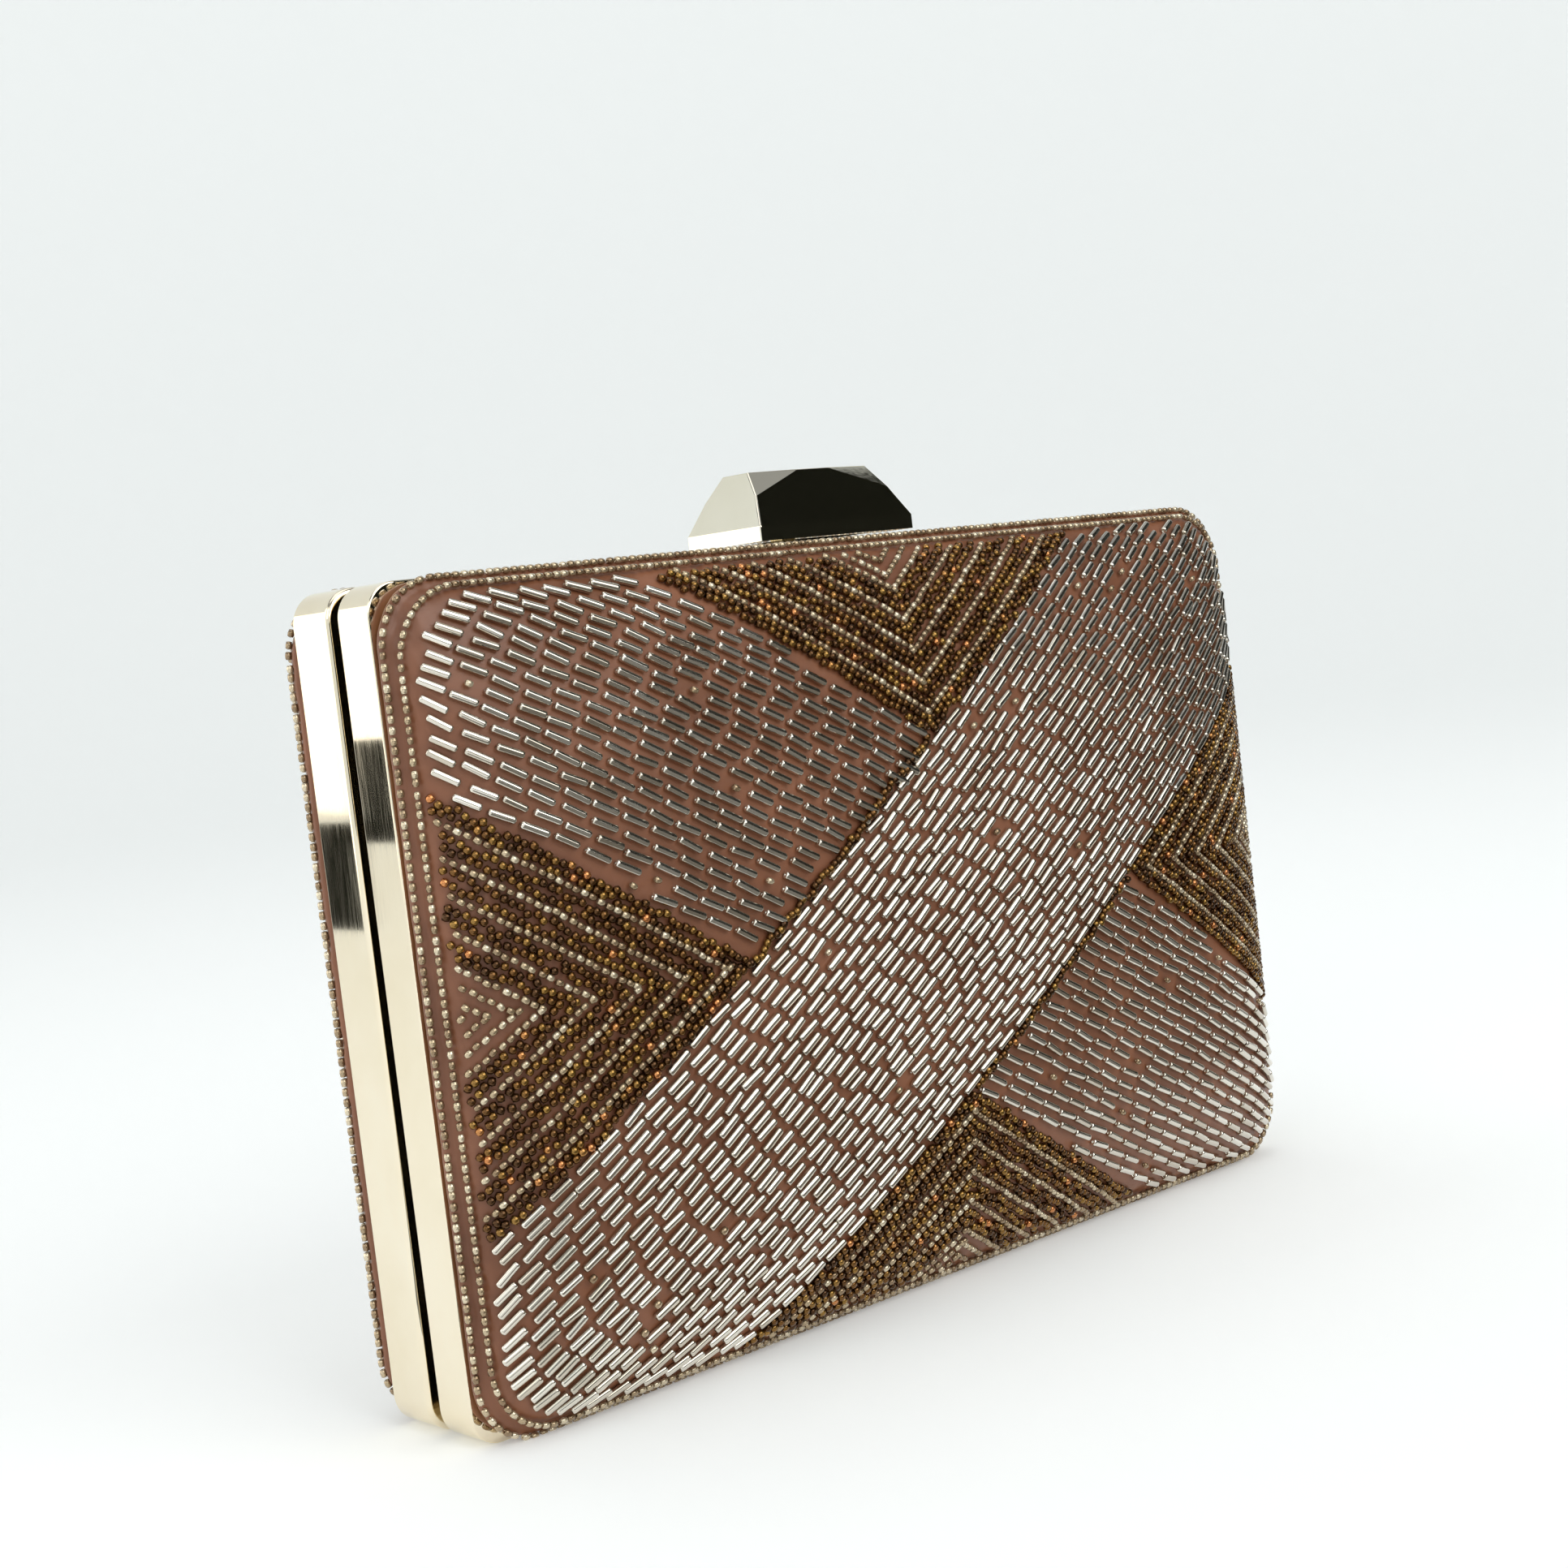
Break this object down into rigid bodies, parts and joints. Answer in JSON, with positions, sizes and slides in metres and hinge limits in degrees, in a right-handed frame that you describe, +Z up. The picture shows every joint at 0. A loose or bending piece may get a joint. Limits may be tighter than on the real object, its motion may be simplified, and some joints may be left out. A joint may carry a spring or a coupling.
{
  "type": "box clutch evening bag",
  "caption": "Hard-framed evening clutch with domed, padded satin sides covered in bugle and seed beads, hinged at the base and closed by a faceted bar clasp.",
  "frame": {"origin": "on the floor under the middle of the closed bag", "axes": "+X to the right along the bag, -Y to its front, +Z up"},
  "size_m": [0.1906, 0.0566, 0.1398],
  "materials": {
    "polished_frame": "polished, pale champagne gold plate",
    "clasp_metal": "mirror polished, pale champagne gold plate",
    "fittings": "plain brass, lightly brushed",
    "steel": "bright steel wire and pins",
    "shell": "moulded, matt",
    "padding": "thin felted wadding",
    "satin": "duchess satin, rose brown, puckered at the rim",
    "beads": "silver-lined glass bugles with pale and amber seed beads",
    "lining": "plain satin lining"
  },
  "bodies": {
    "back_half": {"back_frame": "polished_frame", "back_shell": "shell", "back_padding": "padding", "back_cover": "satin", "back_beadwork": "beads", "back_lining": "lining", "closing_lip": "polished_frame", "hinge_leaf_back_left": "fittings", "hinge_leaf_back_right": "fittings", "hinge_pin_left": "steel", "hinge_pin_right": "steel", "back_hinge_rivets": "fittings", "clasp_bracket": "fittings", "clasp_bracket_rivets": "fittings", "clasp_pivot_pin": "steel", "clasp_spring": "steel"},
    "front_half": {"front_frame": "polished_frame", "front_shell": "shell", "front_padding": "padding", "front_cover": "satin", "front_beadwork": "beads", "front_lining": "lining", "hinge_leaf_front_left": "fittings", "hinge_leaf_front_right": "fittings", "front_hinge_rivets": "fittings", "catch_plate": "fittings", "catch_rivets": "fittings"},
    "clasp": {"clasp_cap": "clasp_metal", "clasp_lever": "fittings", "clasp_screws": "steel"}
  },
  "joints": [
    {"name": "main_hinge", "type": "hinge", "parent": "back_half", "child": "front_half", "pos_m": [0, -0.00072, 0.0014], "axis": [1, 0, 0], "range_deg": [0, 75]},
    {"name": "clasp_rock", "type": "hinge", "parent": "back_half", "child": "clasp", "pos_m": [0, 0.0052, 0.1185], "axis": [-1, 0, 0], "range_deg": [0, 8], "stiffness_Nm_per_rad": 0.15, "springref_deg": -14.32}
  ]
}
